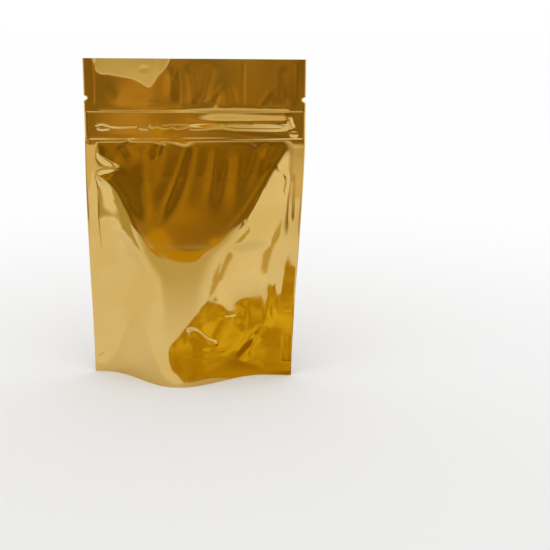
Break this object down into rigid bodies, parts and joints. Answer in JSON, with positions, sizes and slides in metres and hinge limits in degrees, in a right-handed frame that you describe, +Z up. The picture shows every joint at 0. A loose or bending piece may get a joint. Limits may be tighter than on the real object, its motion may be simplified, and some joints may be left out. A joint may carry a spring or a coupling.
{
  "type": "stand-up pouch",
  "caption": "Empty gold foil stand-up pouch with a press-shut zip, half-round tear notches and an opened bottom gusset that it stands on.",
  "frame": {"origin": "centre of the bounding box, at the floor the pouch stands on", "axes": "+Z up, the front with the pictured side faces -Y, +X to the right seen from the front"},
  "size_m": [0.13, 0.053, 0.1826],
  "materials": {
    "foil": "mirror-bright gold foil laminate, smooth and clear-coated, with soft folds"
  },
  "bodies": {
    "root": {"pouch": "foil"}
  },
  "joints": []
}
